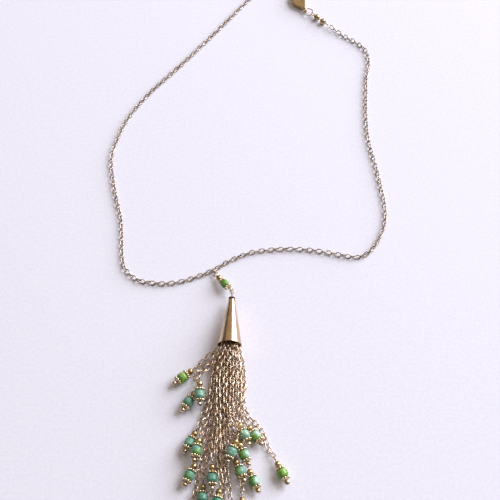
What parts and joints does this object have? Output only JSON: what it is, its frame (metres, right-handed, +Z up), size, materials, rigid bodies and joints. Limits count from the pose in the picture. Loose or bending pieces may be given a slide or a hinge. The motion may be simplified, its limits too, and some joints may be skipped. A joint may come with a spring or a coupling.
{
  "type": "tassel necklace",
  "caption": "Fine cable-chain necklace with a claw clasp and a beaded pendant: a brass cone that holds a tassel of chains, each ending in a green stone drop",
  "frame": {"origin": "middle of the neck loop, on the surface that the necklace lies on", "axes": "+X to the wearer's left as the necklace lies face up, +Y away from the pendant, towards the clasp, +Z up"},
  "size_m": [0.1303, 0.2999, 0.0106],
  "materials": {
    "chain": "antiqued, dark in the recesses",
    "tassel": "antiqued, dark in the recesses",
    "pin": "satin",
    "bead": "polished, dark antique",
    "spacer": "granulated, antiqued",
    "cone": "polished",
    "stone_grass": "polished, slightly cloudy",
    "stone_sea": "polished, slightly cloudy",
    "stone_deep": "polished, slightly cloudy",
    "stone_pale": "polished, slightly cloudy",
    "stone_mixed": "polished, slightly cloudy"
  },
  "bodies": {
    "root": {"neck_chain_left": "chain", "neck_chain_right": "chain", "clasp": "chain", "clasp_ring": "chain", "end_ring": "chain", "link_pin": "pin", "link_beads": "bead", "chain_ring": "pin", "pendant_ring": "pin", "pendant_pin": "pin", "pendant_bead": "bead", "pendant_spacers": "spacer", "pendant_stone": "stone_grass", "cone": "cone", "cone_eye": "pin", "tassel": "tassel", "drop_pins": "pin", "drop_beads": "bead", "drop_stone_01": "stone_grass", "drop_stone_02": "stone_sea", "drop_stone_03": "stone_sea", "drop_stone_04": "stone_pale", "drop_stone_05": "stone_mixed", "drop_stone_06": "stone_sea", "drop_stone_07": "stone_mixed", "drop_stone_08": "stone_deep", "drop_stone_09": "stone_mixed", "drop_stone_10": "stone_grass", "drop_stone_11": "stone_sea", "drop_stone_12": "stone_sea", "drop_stone_13": "stone_deep", "drop_stone_14": "stone_deep", "drop_stone_15": "stone_sea", "drop_stone_16": "stone_deep", "drop_stone_17": "stone_grass", "drop_stone_18": "stone_grass", "drop_stone_19": "stone_sea", "drop_stone_20": "stone_pale", "drop_stone_21": "stone_deep"}
  },
  "joints": []
}
